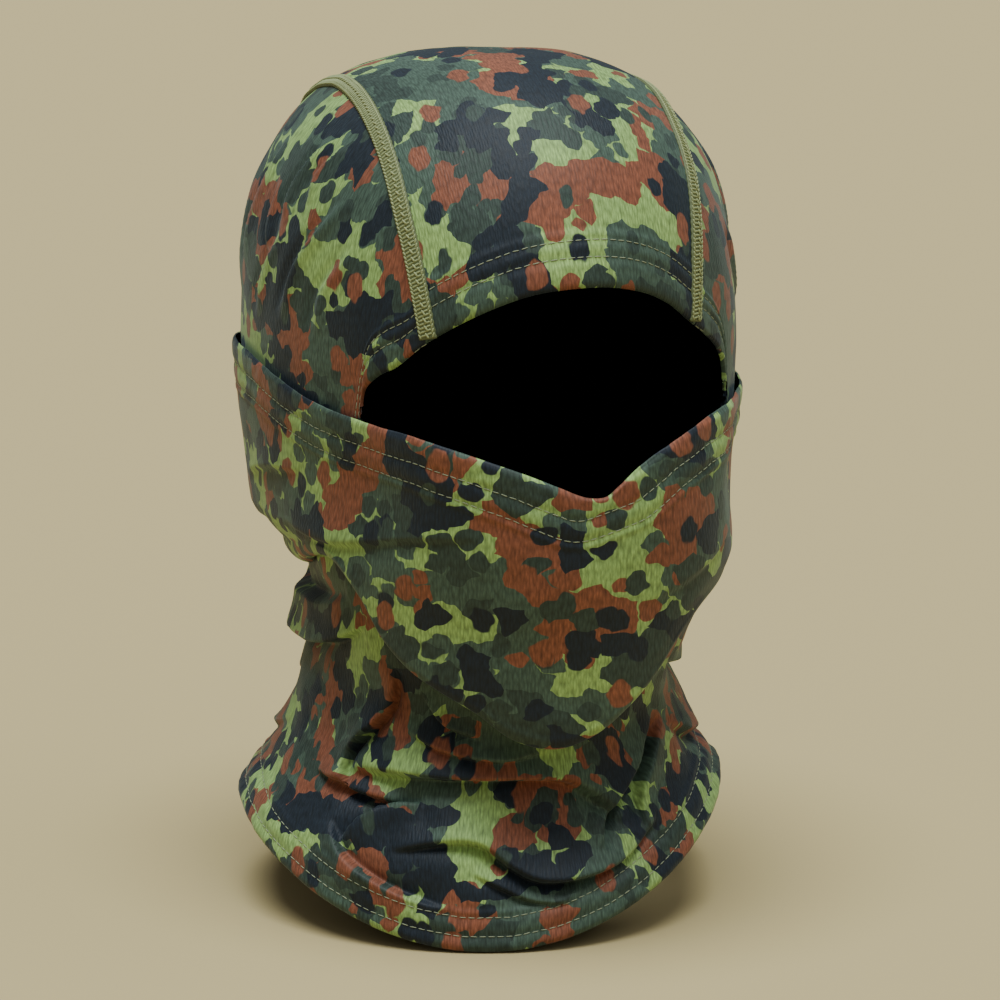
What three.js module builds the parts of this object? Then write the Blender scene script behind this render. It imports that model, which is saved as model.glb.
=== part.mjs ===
// A close-fitting balaclava: a three-panel hood with an open face, a neck tube with a flared
// hem, and a gaiter round the head whose front is a mask that pulls down under the chin.
// Millimetres. +Z is up, the face looks along -Y, the wearer's right is -X. The origin is the
// centre of the neck at the height of the lowest point of the bottom hem.
import * as THREE from 'three';

// Cloth and thread
const CLOTH = 1.0;
const HEM_THICKNESS = 2.0;
const HEM_LIFT = 0.3;
const SEAM_THICKNESS = 0.9;
const SEAM_WIDTH = 5.0;
const THREAD_RADIUS = 0.35;
const CLEARANCE = 0.3;
const EDGE_GAP = 0.55;

// Steps of the mesh along the long way of the bands
const OPENING_STEPS = 72;
const MASK_STEPS = 28;
const GAITER_STEPS = 44;
const NECK_STEPS = 64;
const CROWN_ROWS = 26;

// Plan sections are superellipses: height, half width, depth in front, depth behind
const PLAN_POWER = 2.05;
const HOOD_FORM = [
  [101, 59.4, 79.5, 70.5],
  [120, 66, 85, 80],
  [140, 73.5, 90, 89],
  [162, 78, 94, 97],
  [185, 79.5, 95, 101],
];
const GAITER_FORM = [
  [60, 61, 97, 62],
  [72, 64, 99, 66],
  [85, 68, 101, 72],
  [100, 70, 104, 77.5],
  [120, 73.2, 108, 85],
  [150, 78.2, 110, 97],
  [182, 82.2, 108, 104],
  [205, 82.6, 104, 105],
];
const NECK_FORM = [
  [0, 88, 88.5, 88],
  [18, 87, 86, 86.5],
  [33, 83.5, 81, 82],
  [48, 72.5, 75.5, 75],
  [62, 65, 74, 71],
  [75, 61.5, 75, 69.5],
  [88, 60.5, 78, 70],
  [100, 61.5, 82, 73],
];

// Crown: a dome with squared shoulders on top of the hood walls
const CROWN_BASE = 185;
const CROWN_RISE = 95;
const CROWN_POWER = 2.62;
const WALL_SCALE = 80;
const HOOD_BOTTOM = 101.4;
const NAPE_RUN = 0.72;

// Flatlock seams: distance from the middle plane at the brow, over the top and at the nape
const SEAM_AT_BROW = 43.5;
const SEAM_AT_TOP = 50;
const SEAM_AT_NAPE = 36;

// Face opening edge, half of it: degrees from the front, height
const OPENING_EDGE = [
  [45.5, 101.6],
  [45.5, 125],
  [45.5, 150],
  [45.5, 168],
  [43.5, 179],
  [38.5, 186],
  [30, 195],
  [19, 205],
  [8, 210.6],
  [0, 211.6],
];
const OPENING_RADIUS = 90;
const OPENING_HEM = 17;
const OPENING_HEM_LIFT = 0.2;
const OPENING_STITCH_INNER = 9;
const OPENING_STITCH_OUTER = 14.5;

// Gaiter top edge: degrees from the front, height. It dips to a V over the nose.
const GAITER_EDGE = [
  [0, 149],
  [6, 155],
  [14, 161],
  [27, 168],
  [47, 171],
  [65, 174],
  [90, 178.5],
  [112, 181],
  [145, 181],
  [180, 179],
];
const GAITER_HEM = 16;
const GAITER_STITCH_UPPER = 8;
const GAITER_STITCH_LOWER = 14;

// The mask is the gaiter cloth in front of this frontal plane, above the chin fold
const MASK_PLANE = -45;
const CHIN_FOLD = 71;
const CHIN_FOLD_RISE = 38;
const SIDE_FOLD = 100;
const MASK_LIFT = 0.4;
const MASK_OUT = 1.2;
const MASK_GAP = 0.5;

// Bottom hem: its sides rest higher than its front and back, and it is turned on the wearer
const HEM_TURN = THREE.MathUtils.degToRad(-19);
const HEM_RISE = 37;
const HEM_LEAN = 4;
const NECK_HEM = 12;
const NECK_STITCH_UPPER = 10.3;
const NECK_STITCH_LOWER = 4.5;
const NECK_STITCH_LIFT = 0.5;

// The seam inside the neck, just below the side fold
const JOIN_WIDTH = 8;
const JOIN_DROP = 0.5;
const JOIN_THICKNESS = 1.8;

// Colours
const CAMOUFLAGE_GREEN = 0x5f6f45;
const HEM_GREEN = 0x59683f;
const SEAM_OLIVE = 0x78824b;
const THREAD_OLIVE = 0x8a9460;

const TURN = 2 * Math.PI;

const balaclava = new THREE.Group();
balaclava.name = 'balaclava';

// ---------- curves and forms ----------

// A smooth curve through rows of [position, value, value...]
function smoothAt(rows, at) {
  const last = rows.length - 1;
  const place = Math.min(Math.max(at, rows[0][0]), rows[last][0]);
  let i = 0;
  while (i < last - 1 && place > rows[i + 1][0]) i += 1;
  const span = rows[i + 1][0] - rows[i][0];
  const t = (place - rows[i][0]) / span;
  const slope = (k, column) => {
    const before = rows[Math.max(k - 1, 0)];
    const after = rows[Math.min(k + 1, last)];
    return (after[column] - before[column]) / (after[0] - before[0]);
  };
  const values = [];
  for (let column = 1; column < rows[0].length; column += 1) {
    const from = rows[i][column];
    const to = rows[i + 1][column];
    const rise = slope(i, column) * span;
    const arrive = slope(i + 1, column) * span;
    const cubic = 2 * from - 2 * to + rise + arrive;
    const square = 3 * to - 3 * from - 2 * rise - arrive;
    values.push(((cubic * t + square) * t + rise) * t + from);
  }
  return values;
}

// Distance from the vertical axis to a form's surface
function planRadius(form, theta, z) {
  const [half, front, back] = smoothAt(form, z);
  const depth = Math.cos(theta) > 0 ? front : back;
  const side = Math.pow(Math.abs(Math.sin(theta)) / half, PLAN_POWER);
  const ahead = Math.pow(Math.abs(Math.cos(theta)) / depth, PLAN_POWER);
  return Math.pow(side + ahead, -1 / PLAN_POWER);
}

function around(radius, theta, z) {
  return new THREE.Vector3(radius * Math.sin(theta), -radius * Math.cos(theta), z);
}

// Hood surface from an angle round the head and an angle of rise. Above the crown base the
// rise is the slope of a ray from the axis, below it the height falls straight down.
function hoodPoint([theta, rise]) {
  if (rise < 0) {
    const z = CROWN_BASE + rise * WALL_SCALE;
    return around(planRadius(HOOD_FORM, theta, z), theta, z);
  }
  const wall = planRadius(HOOD_FORM, theta, CROWN_BASE);
  const level = Math.pow(Math.cos(rise) / wall, CROWN_POWER);
  const height = Math.pow(Math.sin(rise) / CROWN_RISE, CROWN_POWER);
  const reach = Math.pow(level + height, -1 / CROWN_POWER);
  return around(reach * Math.cos(rise), theta, CROWN_BASE + reach * Math.sin(rise));
}

// The rise that gives a height on the hood at an angle
function riseAtHeight(theta, z) {
  if (z < CROWN_BASE) return (z - CROWN_BASE) / WALL_SCALE;
  let low = 0;
  let high = Math.PI / 2;
  for (let i = 0; i < 24; i += 1) {
    const middle = (low + high) / 2;
    if (hoodPoint([theta, middle]).z < z) low = middle;
    else high = middle;
  }
  return low;
}

// Where a point of the hood lies, as an angle and a rise
function hoodPlace(point) {
  const level = Math.hypot(point.x, point.y);
  const theta = Math.atan2(point.x, -point.y);
  if (point.z < CROWN_BASE) return [theta, (point.z - CROWN_BASE) / WALL_SCALE];
  return [theta, Math.atan2(point.z - CROWN_BASE, level)];
}

function gaiterPoint([theta, z]) {
  return around(planRadius(GAITER_FORM, theta, z) + MASK_LIFT, theta, z);
}

function neckPoint([theta, z]) {
  return around(planRadius(NECK_FORM, theta, z), theta, z);
}

// A point of a surface moved out along the surface's normal
function offsetPoint(surface, place, distance) {
  const step = 0.002;
  const scale = surface === hoodPoint ? 1 : WALL_SCALE;
  const [theta, rise] = place;
  const across = surface([theta + step, rise]).sub(surface([theta - step, rise]));
  const upward = surface([theta, rise + step * scale]).sub(surface([theta, rise - step * scale]));
  return surface(place).addScaledVector(across.cross(upward).normalize(), distance);
}

// ---------- solids ----------

function addNode(name, geometry, colour, roughness) {
  const material = new THREE.MeshStandardMaterial({ color: colour, roughness, metalness: 0 });
  const mesh = new THREE.Mesh(geometry, material);
  mesh.name = name;
  balaclava.add(mesh);
}

// A closed solid between an outer and an inner grid of points. A ring joins up sideways.
function slab(outer, inner, ring) {
  const rows = outer.length;
  const columns = outer[0].length;
  const spans = ring ? columns : columns - 1;
  const positions = [];
  for (const grid of [outer, inner]) {
    for (const row of grid) {
      for (const point of row) positions.push(point.x, point.y, point.z);
    }
  }
  const out = (r, c) => r * columns + (c % columns);
  const back = (r, c) => rows * columns + out(r, c);
  const faces = [];
  const quad = (a, b, c, d) => faces.push(a, b, c, a, c, d);
  for (let r = 0; r < rows - 1; r += 1) {
    for (let c = 0; c < spans; c += 1) {
      quad(out(r, c), out(r, c + 1), out(r + 1, c + 1), out(r + 1, c));
      quad(back(r, c), back(r + 1, c), back(r + 1, c + 1), back(r, c + 1));
    }
  }
  for (let c = 0; c < spans; c += 1) {
    quad(out(0, c), back(0, c), back(0, c + 1), out(0, c + 1));
    quad(out(rows - 1, c), out(rows - 1, c + 1), back(rows - 1, c + 1), back(rows - 1, c));
  }
  if (!ring) {
    for (let r = 0; r < rows - 1; r += 1) {
      quad(out(r, 0), out(r + 1, 0), back(r + 1, 0), back(r, 0));
      quad(out(r, spans), back(r, spans), back(r + 1, spans), out(r + 1, spans));
    }
  }
  const geometry = new THREE.BufferGeometry();
  geometry.setAttribute('position', new THREE.Float32BufferAttribute(positions, 3));
  geometry.setIndex(faces);
  geometry.computeVertexNormals();
  return geometry;
}

// A cloth sheet on a surface. place(across, along) says where each grid point lies.
function sheetSolid(surface, place, columns, rows, outside, inside, ring) {
  const grid = (offset) => {
    const lines = [];
    for (let r = 0; r <= rows; r += 1) {
      const line = [];
      const count = ring ? columns - 1 : columns;
      for (let c = 0; c <= count; c += 1) {
        line.push(offsetPoint(surface, place(c / columns, r / rows), offset));
      }
      lines.push(line);
    }
    return lines;
  };
  return slab(grid(outside), grid(inside), ring);
}

// A turned hem: a double band whose two long edges are rounded off
function hemSolid(surface, place, columns, outside, inside, ring) {
  const middle = (outside + inside) / 2;
  const half = (outside - inside) / 2;
  const bands = [[0, 0.35], [0.09, 1], [0.91, 1], [1, 0.45]];
  const grid = (side) => bands.map(([along, share]) => {
    const line = [];
    const count = ring ? columns - 1 : columns;
    for (let c = 0; c <= count; c += 1) {
      const offset = middle + side * half * share;
      line.push(offsetPoint(surface, place(c / columns, along), offset));
    }
    return line;
  });
  return slab(grid(1), grid(-1), ring);
}

// A round thread through a line of points, open at both ends or joined into a ring
function threadSolid(points, normals, ring) {
  const sides = 4;
  const last = points.length - 1;
  const count = points.length;
  const positions = [];
  for (let i = 0; i < count; i += 1) {
    const before = points[ring ? (i + count - 1) % count : Math.max(i - 1, 0)];
    const after = points[ring ? (i + 1) % count : Math.min(i + 1, last)];
    const along = after.clone().sub(before).normalize();
    const out = normals[i].clone().addScaledVector(along, -normals[i].dot(along)).normalize();
    const side = along.clone().cross(out);
    for (let s = 0; s < sides; s += 1) {
      const turn = TURN * (s + 0.5) / sides;
      const corner = points[i].clone();
      corner.addScaledVector(out, THREAD_RADIUS * Math.cos(turn));
      corner.addScaledVector(side, THREAD_RADIUS * Math.sin(turn));
      positions.push(corner.x, corner.y, corner.z);
    }
  }
  const faces = [];
  const at = (i, s) => (i % count) * sides + (s % sides);
  for (let i = 0; i < (ring ? count : last); i += 1) {
    for (let s = 0; s < sides; s += 1) {
      faces.push(at(i, s), at(i, s + 1), at(i + 1, s + 1), at(i, s), at(i + 1, s + 1), at(i + 1, s));
    }
  }
  if (!ring) {
    faces.push(at(0, 0), at(0, 2), at(0, 1), at(0, 0), at(0, 3), at(0, 2));
    faces.push(at(last, 0), at(last, 1), at(last, 2), at(last, 0), at(last, 2), at(last, 3));
  }
  const geometry = new THREE.BufferGeometry();
  geometry.setAttribute('position', new THREE.Float32BufferAttribute(positions, 3));
  geometry.setIndex(faces);
  geometry.computeVertexNormals();
  return geometry;
}

// A row of stitching that lies on a surface
function stitchSolid(surface, place, steps, lift, ring) {
  const points = [];
  const normals = [];
  for (let i = 0; i <= (ring ? steps - 1 : steps); i += 1) {
    const where = place(i / steps);
    const height = lift + CLEARANCE + THREAD_RADIUS;
    const low = offsetPoint(surface, where, 0);
    const high = offsetPoint(surface, where, height);
    normals.push(high.clone().sub(low).normalize());
    points.push(high);
  }
  return threadSolid(points, normals, ring);
}

// ---------- hood ----------

const openingCurve = new THREE.CatmullRomCurve3(
  [...OPENING_EDGE, ...OPENING_EDGE.slice(0, -1).reverse().map(([angle, z]) => [-angle, z])]
    .map(([angle, z]) => new THREE.Vector3(-THREE.MathUtils.degToRad(angle) * OPENING_RADIUS, z, 0)),
);

// A place beside the opening edge, a distance away from it. Along runs from 0 on the wearer's
// right cheek over the brow to 1 on the left cheek.
function besideOpening(along, distance) {
  const edge = openingCurve.getPointAt(along);
  const heading = openingCurve.getTangentAt(along);
  const theta = (edge.x - heading.y * distance) / OPENING_RADIUS;
  const z = Math.max(edge.y + heading.x * distance, HOOD_BOTTOM);
  return [theta, riseAtHeight(theta, z)];
}

// How far along the opening the upper edge of the brow hem reaches a distance from the middle
function alongAtBrow(x) {
  let low = 0.5;
  let high = 0.85;
  for (let i = 0; i < 24; i += 1) {
    const middle = (low + high) / 2;
    if (hoodPoint(besideOpening(middle, OPENING_HEM + EDGE_GAP)).x < x) low = middle;
    else high = middle;
  }
  return low;
}

// Half width of the crown strip along its run: 0 at the brow, 1 at the nape
function seamDistance(run) {
  const rows = [[0, SEAM_AT_BROW], [0.35, SEAM_AT_TOP], [0.7, SEAM_AT_TOP], [1, SEAM_AT_NAPE]];
  return smoothAt(rows, run)[0];
}

// A point of the hood at a distance x from the middle plane, along a run over the head
function crownPoint(x, run) {
  const side = Math.abs(x);
  if (run > NAPE_RUN) {
    const fall = (run - NAPE_RUN) / (1 - NAPE_RUN);
    const z = CROWN_BASE + fall * (HOOD_BOTTOM - CROWN_BASE);
    const [width, , depth] = smoothAt(HOOD_FORM, z);
    const inset = 1 - Math.pow(side / width, PLAN_POWER);
    return new THREE.Vector3(x, depth * Math.pow(inset, 1 / PLAN_POWER), z);
  }
  const brow = hoodPoint(besideOpening(alongAtBrow(side), OPENING_HEM + EDGE_GAP));
  const start = Math.atan2(brow.z - CROWN_BASE, -brow.y);
  const slope = start + (Math.PI - start) * (run / NAPE_RUN);
  const [width, front, back] = smoothAt(HOOD_FORM, CROWN_BASE);
  const depth = Math.cos(slope) > 0 ? front : back;
  let low = 0;
  let high = 150;
  for (let i = 0; i < 30; i += 1) {
    const reach = (low + high) / 2;
    const ahead = Math.pow(Math.abs(reach * Math.cos(slope)) / depth, PLAN_POWER);
    const plan = Math.pow(side / width, PLAN_POWER) + ahead;
    const height = Math.pow(Math.abs(reach * Math.sin(slope)) / CROWN_RISE, CROWN_POWER);
    if (Math.pow(plan, CROWN_POWER / PLAN_POWER) + height < 1) low = reach;
    else high = reach;
  }
  return new THREE.Vector3(x, -low * Math.cos(slope), CROWN_BASE + low * Math.sin(slope));
}

// The same, moved out along the hood's normal
function crownOffset(x, run, distance) {
  const across = crownPoint(x + 0.5, run).sub(crownPoint(x - 0.5, run));
  const upward = crownPoint(x, run + 0.001).sub(crownPoint(x, run - 0.001));
  return crownPoint(x, run).addScaledVector(across.cross(upward).normalize(), distance);
}

function crownCentrePanel() {
  const grid = (offset) => {
    const lines = [];
    for (let r = 0; r <= CROWN_ROWS; r += 1) {
      const run = r / CROWN_ROWS;
      const half = seamDistance(run) - CLEARANCE / 2;
      const line = [];
      for (let c = 0; c <= 12; c += 1) line.push(crownOffset(half * (c / 6 - 1), run, offset));
      lines.push(line);
    }
    return lines;
  };
  return slab(grid(0), grid(-CLOTH), false);
}

// Outer boundary of a side panel: down beside the opening, then along the bottom to the nape
function sideRim(run) {
  if (run < 0.5) {
    const brow = alongAtBrow(SEAM_AT_BROW + CLEARANCE / 2);
    return besideOpening(brow + (1 - brow) * (run / 0.5), OPENING_HEM + EDGE_GAP);
  }
  const [front, low] = besideOpening(1, OPENING_HEM + EDGE_GAP);
  const [nape] = hoodPlace(crownPoint(SEAM_AT_NAPE + CLEARANCE / 2, 1));
  return [front + (nape - front) * ((run - 0.5) / 0.5), low];
}

// A point of the left side panel, from the seam to its outer boundary
function sidePlace(share, run) {
  const [theta, rise] = hoodPlace(crownPoint(seamDistance(run) + CLEARANCE / 2, run));
  const [rimTheta, rimRise] = sideRim(run);
  return [theta + (rimTheta - theta) * share, rise + (rimRise - rise) * share];
}

function crownSidePanel(side) {
  const first = 0.02;
  const besideFace = 28;
  const underneath = 12;
  const grid = (offset) => {
    const lines = [];
    for (let r = 0; r <= besideFace + underneath; r += 1) {
      const facing = first + (0.5 - first) * (r / besideFace);
      const run = r < besideFace ? facing : 0.5 + 0.5 * ((r - besideFace) / underneath);
      const line = [];
      for (let c = 0; c <= 12; c += 1) {
        const point = offsetPoint(hoodPoint, sidePlace(c / 12, run), offset);
        line.push(point.setX(point.x * side));
      }
      lines.push(side > 0 ? line : line.reverse());
    }
    return lines;
  };
  return slab(grid(0), grid(-CLOTH), false);
}

// Flatlock tape along the seam, over the gap between two panels
function flatlockSeam(side) {
  const rows = CROWN_ROWS + 4;
  const grid = (offset) => {
    const lines = [];
    for (let r = 0; r <= rows; r += 1) {
      const run = 0.004 + 0.99 * (r / rows);
      const line = [];
      for (const share of [-0.5, -0.3, 0.3, 0.5]) {
        const x = side * seamDistance(run) + share * SEAM_WIDTH;
        const height = CLEARANCE + (Math.abs(share) < 0.4 ? offset : offset * 0.6);
        line.push(crownOffset(x, run, height));
      }
      lines.push(line);
    }
    return lines;
  };
  return slab(grid(SEAM_THICKNESS), grid(0), false);
}

function openingHem() {
  const place = (along, across) => besideOpening(along, across * OPENING_HEM);
  const outside = OPENING_HEM_LIFT;
  return hemSolid(hoodPoint, place, OPENING_STEPS, outside, outside - HEM_THICKNESS, false);
}

function openingStitch(distance) {
  const place = (along) => besideOpening(0.03 + 0.94 * along, distance);
  return stitchSolid(hoodPoint, place, OPENING_STEPS, OPENING_HEM_LIFT, false);
}

// ---------- gaiter and mask ----------

function gaiterEdge(theta) {
  const angle = Math.abs(Math.atan2(Math.sin(theta), Math.cos(theta)));
  return smoothAt(GAITER_EDGE, THREE.MathUtils.radToDeg(angle))[0];
}

// Height of the fold under the chin, where the mask hangs over the neck tube
function chinFold(theta) {
  return Math.min(CHIN_FOLD + CHIN_FOLD_RISE * Math.pow(Math.sin(theta), 2), SIDE_FOLD);
}

// The angle at which the gaiter passes a frontal plane, at a height below its top edge
function angleAtPlane(y, heightAt) {
  let low = 0.4;
  let high = 1.5;
  for (let i = 0; i < 24; i += 1) {
    const theta = (low + high) / 2;
    if (gaiterPoint([theta, heightAt(theta)]).y < y) low = theta;
    else high = theta;
  }
  return low;
}

// A place on the mask: share from the wearer's right to the left, up from the chin fold
function maskPlace(share, height) {
  const reach = angleAtPlane(MASK_PLANE, height);
  const theta = reach * (2 * share - 1);
  return [theta, height(theta)];
}

function maskPanel() {
  const place = (across, along) => maskPlace(across, (theta) => {
    const low = chinFold(theta);
    return low + (gaiterEdge(theta) - GAITER_HEM - CLEARANCE - low) * along;
  });
  return sheetSolid(gaiterPoint, place, 24, 10, MASK_OUT, MASK_OUT - CLOTH, false);
}

function maskHem() {
  const place = (across, along) => maskPlace(across, (theta) => {
    return gaiterEdge(theta) - GAITER_HEM * (1 - along);
  });
  const outside = MASK_OUT + HEM_LIFT;
  return hemSolid(gaiterPoint, place, MASK_STEPS, outside, outside - HEM_THICKNESS, false);
}

function maskStitch(distance) {
  const place = (across) => maskPlace(across, (theta) => gaiterEdge(theta) - distance);
  return stitchSolid(gaiterPoint, place, MASK_STEPS, MASK_OUT + HEM_LIFT, false);
}

// A place on the gaiter behind the mask: share from the left side round the back to the right
function gaiterPlace(share, height) {
  const start = angleAtPlane(MASK_PLANE + MASK_GAP, height);
  const theta = start + (TURN - 2 * start) * share;
  return [theta, height(theta)];
}

// The back of the gaiter. Its lowest rows turn in to meet the neck tube, as the fold does.
function gaiterBackPanel() {
  const turnIn = [[0, 0.0], [0.05, 0.62], [0.12, 1.0]];
  const surface = ([theta, z]) => {
    const top = gaiterEdge(theta) - GAITER_HEM - CLEARANCE;
    const share = (z - SIDE_FOLD - CLEARANCE) / (top - SIDE_FOLD - CLEARANCE);
    const wide = share < 0.12 ? smoothAt(turnIn, share)[0] : 1;
    const wall = planRadius(GAITER_FORM, theta, z) + MASK_LIFT;
    const neck = planRadius(NECK_FORM, theta, z);
    return around(neck + (wall - neck) * wide, theta, z);
  };
  const rows = [0, 0.05, 0.12, 0.25, 0.4, 0.55, 0.7, 0.85, 1];
  const grid = (offset) => rows.map((along) => {
    const line = [];
    for (let c = 0; c <= 40; c += 1) {
      const place = gaiterPlace(c / 40, (theta) => {
        const low = SIDE_FOLD + CLEARANCE;
        return low + (gaiterEdge(theta) - GAITER_HEM - CLEARANCE - low) * along;
      });
      line.push(offsetPoint(surface, place, offset));
    }
    return line;
  });
  return slab(grid(MASK_OUT), grid(MASK_OUT - CLOTH), false);
}

function gaiterHem() {
  const place = (across, along) => gaiterPlace(across, (theta) => {
    return gaiterEdge(theta) - GAITER_HEM * (1 - along);
  });
  const outside = MASK_OUT + HEM_LIFT;
  return hemSolid(gaiterPoint, place, GAITER_STEPS, outside, outside - HEM_THICKNESS, false);
}

function gaiterStitch(distance) {
  const place = (across) => gaiterPlace(across, (theta) => gaiterEdge(theta) - distance);
  return stitchSolid(gaiterPoint, place, GAITER_STEPS, MASK_OUT + HEM_LIFT, false);
}

// ---------- neck ----------

function hemHeight(theta) {
  const turn = theta - HEM_TURN;
  return (HEM_RISE + HEM_LEAN * Math.sin(turn)) * Math.pow(Math.sin(turn), 2);
}

function neckTube() {
  const place = (across, along) => {
    const theta = TURN * across;
    const low = hemHeight(theta) + NECK_HEM + CLEARANCE;
    return [theta, low + (SIDE_FOLD - low) * along];
  };
  return sheetSolid(neckPoint, place, NECK_STEPS, 9, 0, -CLOTH, true);
}

function neckHem() {
  const place = (across, along) => [TURN * across, hemHeight(TURN * across) + NECK_HEM * along];
  return hemSolid(neckPoint, place, NECK_STEPS, HEM_LIFT, HEM_LIFT - HEM_THICKNESS, true);
}

function neckStitch(distance) {
  const place = (across) => [TURN * across, hemHeight(TURN * across) + distance];
  return stitchSolid(neckPoint, place, NECK_STEPS, NECK_STITCH_LIFT, true);
}

// The seam inside the neck that joins the hood to the neck tube
function joinSeam() {
  const low = SIDE_FOLD - JOIN_DROP - JOIN_WIDTH;
  const place = (across, along) => [TURN * across, low + JOIN_WIDTH * along];
  const outside = -CLOTH - CLEARANCE;
  return hemSolid(neckPoint, place, NECK_STEPS, outside, outside - JOIN_THICKNESS, true);
}

// ---------- the whole ----------

addNode('crown_centre_panel', crownCentrePanel(), CAMOUFLAGE_GREEN, 0.9);
addNode('crown_right_panel', crownSidePanel(-1), CAMOUFLAGE_GREEN, 0.9);
addNode('crown_left_panel', crownSidePanel(1), CAMOUFLAGE_GREEN, 0.9);
addNode('crown_right_flatlock_seam', flatlockSeam(-1), SEAM_OLIVE, 0.85);
addNode('crown_left_flatlock_seam', flatlockSeam(1), SEAM_OLIVE, 0.85);
addNode('face_opening_hem', openingHem(), HEM_GREEN, 0.9);
addNode('face_opening_inner_stitch', openingStitch(OPENING_STITCH_INNER), THREAD_OLIVE, 0.8);
addNode('face_opening_outer_stitch', openingStitch(OPENING_STITCH_OUTER), THREAD_OLIVE, 0.8);

addNode('mask_front_panel', maskPanel(), CAMOUFLAGE_GREEN, 0.9);
addNode('mask_top_hem', maskHem(), HEM_GREEN, 0.9);
addNode('mask_upper_stitch', maskStitch(GAITER_STITCH_UPPER), THREAD_OLIVE, 0.8);
addNode('mask_lower_stitch', maskStitch(GAITER_STITCH_LOWER), THREAD_OLIVE, 0.8);

addNode('gaiter_back_panel', gaiterBackPanel(), CAMOUFLAGE_GREEN, 0.9);
addNode('gaiter_top_hem', gaiterHem(), HEM_GREEN, 0.9);
addNode('gaiter_upper_stitch', gaiterStitch(GAITER_STITCH_UPPER), THREAD_OLIVE, 0.8);
addNode('gaiter_lower_stitch', gaiterStitch(GAITER_STITCH_LOWER), THREAD_OLIVE, 0.8);

addNode('neck_tube', neckTube(), CAMOUFLAGE_GREEN, 0.9);
addNode('neck_hem', neckHem(), HEM_GREEN, 0.9);
addNode('neck_upper_stitch', neckStitch(NECK_STITCH_UPPER), THREAD_OLIVE, 0.8);
addNode('neck_lower_stitch', neckStitch(NECK_STITCH_LOWER), THREAD_OLIVE, 0.8);
addNode('hood_join_seam', joinSeam(), SEAM_OLIVE, 0.85);

export default balaclava;
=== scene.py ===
"""A camouflage balaclava in the shape of a worn head, on a plain pale floor.

Lengths are millimetres and angles degrees until they become mesh points, which are metres.
Angles round the head start at the face (-Y) and grow towards the wearer's left (+X).
"""
import itertools
import math

import bpy
import numpy as np
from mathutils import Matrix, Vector


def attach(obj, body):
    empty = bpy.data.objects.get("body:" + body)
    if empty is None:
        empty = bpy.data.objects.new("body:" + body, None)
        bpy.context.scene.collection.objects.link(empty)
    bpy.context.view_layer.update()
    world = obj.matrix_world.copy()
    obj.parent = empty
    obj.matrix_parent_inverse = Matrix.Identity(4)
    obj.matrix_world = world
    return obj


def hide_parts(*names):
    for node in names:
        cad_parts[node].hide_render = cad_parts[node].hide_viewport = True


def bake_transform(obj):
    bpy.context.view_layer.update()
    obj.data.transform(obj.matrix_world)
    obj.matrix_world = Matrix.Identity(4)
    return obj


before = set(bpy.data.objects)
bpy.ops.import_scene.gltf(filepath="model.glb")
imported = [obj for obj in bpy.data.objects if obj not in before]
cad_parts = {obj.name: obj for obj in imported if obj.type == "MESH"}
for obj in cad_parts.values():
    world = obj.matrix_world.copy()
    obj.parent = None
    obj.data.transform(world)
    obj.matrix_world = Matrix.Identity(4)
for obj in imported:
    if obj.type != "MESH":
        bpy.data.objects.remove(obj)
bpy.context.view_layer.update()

MM = 0.001
BODY = "hood_and_neck"

# ---------- sizes shared with the CAD part ----------

# height, half width, depth in front, depth behind
PLAN_POWER = 2.05
HOOD_FORM = [
    (101, 59.4, 79.5, 70.5),
    (120, 66, 85, 80),
    (140, 73.5, 90, 89),
    (162, 78, 94, 97),
    (185, 79.5, 95, 101),
]
GAITER_FORM = [
    (60, 61, 97, 62),
    (72, 64, 99, 66),
    (85, 68, 101, 72),
    (100, 70, 104, 77.5),
    (120, 73.2, 108, 85),
    (150, 78.2, 110, 97),
    (182, 82.2, 108, 104),
    (205, 82.6, 104, 105),
]
NECK_FORM = [
    (0, 88, 88.5, 88),
    (18, 87, 86, 86.5),
    (33, 83.5, 81, 82),
    (48, 72.5, 75.5, 75),
    (62, 65, 74, 71),
    (75, 61.5, 75, 69.5),
    (88, 60.5, 78, 70),
    (100, 61.5, 82, 73),
]
CROWN_BASE = 185
CROWN_RISE = 95
CROWN_POWER = 2.62
WALL_SCALE = 80
HOOD_BOTTOM = 101.4

CLOTH = 0.7
HEM_EXTRA = 0.9
GAITER_LIFT = 1.3

# Flatlock seams: run from brow to nape, how far the right and the left seam lie from the middle
SEAM_LINES = [
    (0, -45.6, 42), (0.12, -50, 45), (0.24, -50.5, 47.5),
    (0.4, -47.5, 47), (0.7, -44, 44), (1, -37, 36),
]
SEAM_WIDTH = 5.9
NAPE_RUN = 0.72

# Edge of the face opening, from the wearer's right cheek over the brow to the left: degrees, height
OPENING_EDGE = [
    (-45.5, 101.6), (-45.8, 125), (-46, 150), (-46, 168),
    (-45, 178), (-41.5, 183), (-37, 186.5), (-30, 195),
    (-19, 204.5), (-9, 210), (3, 211.5), (12, 209.3),
    (19, 205), (25, 199), (30, 194.5), (35, 190),
    (39, 184.5), (41, 178), (41.5, 168), (42, 150),
    (43, 125), (44, 101.6),
]
OPENING_RADIUS = 90
OPENING_HEM = 17
OPENING_ROWS = (9.5, 14.8)

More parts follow.
